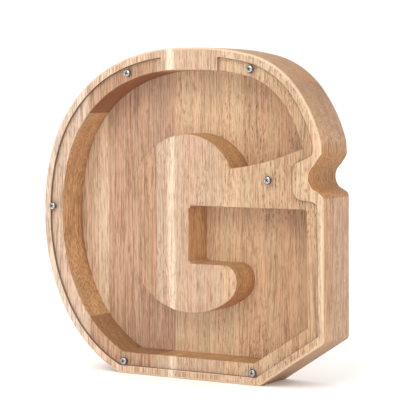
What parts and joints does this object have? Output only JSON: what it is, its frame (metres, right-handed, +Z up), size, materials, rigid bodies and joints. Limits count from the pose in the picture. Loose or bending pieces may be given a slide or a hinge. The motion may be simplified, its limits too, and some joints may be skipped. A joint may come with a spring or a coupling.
{
  "type": "letter money box",
  "caption": "Free-standing wooden money box in the shape of a rounded block letter, with a hollow front pocket under a clear screwed window and a coin slot in the top.",
  "frame": {"origin": "on the flat base, midway between front and back, below the middle of the top edge and of the coin slot", "axes": "+X to the right seen from the front, +Y from the front to the back through the thickness, +Z up"},
  "size_m": [0.1997, 0.0366, 0.2],
  "materials": {
    "rubberwood": "sanded and oiled",
    "acrylic": "clear and polished",
    "zinc_steel": "bright zinc plate"
  },
  "bodies": {
    "case": {"stave_1": "rubberwood", "stave_2": "rubberwood", "stave_3": "rubberwood", "stave_4": "rubberwood", "stave_5": "rubberwood"},
    "front_window": {"window": "acrylic"},
    "top_left_screw": {"screw_top_left": "zinc_steel"},
    "top_right_screw": {"screw_top_right": "zinc_steel"},
    "left_screw": {"screw_left": "zinc_steel"},
    "crossbar_screw": {"screw_crossbar": "zinc_steel"},
    "bottom_left_screw": {"screw_bottom_left": "zinc_steel"},
    "bottom_right_screw": {"screw_bottom_right": "zinc_steel"}
  },
  "joints": [
    {"name": "window_lift", "type": "slide", "parent": "case", "child": "front_window", "axis": [0, -1, 0], "range_m": [0, 0.04]},
    {"name": "screw_top_left_out", "type": "slide", "parent": "front_window", "child": "top_left_screw", "axis": [0, -1, 0], "range_m": [0, 0.014]},
    {"name": "screw_top_right_out", "type": "slide", "parent": "front_window", "child": "top_right_screw", "axis": [0, -1, 0], "range_m": [0, 0.014]},
    {"name": "screw_left_out", "type": "slide", "parent": "front_window", "child": "left_screw", "axis": [0, -1, 0], "range_m": [0, 0.014]},
    {"name": "screw_crossbar_out", "type": "slide", "parent": "front_window", "child": "crossbar_screw", "axis": [0, -1, 0], "range_m": [0, 0.014]},
    {"name": "screw_bottom_left_out", "type": "slide", "parent": "front_window", "child": "bottom_left_screw", "axis": [0, -1, 0], "range_m": [0, 0.014]},
    {"name": "screw_bottom_right_out", "type": "slide", "parent": "front_window", "child": "bottom_right_screw", "axis": [0, -1, 0], "range_m": [0, 0.014]}
  ]
}
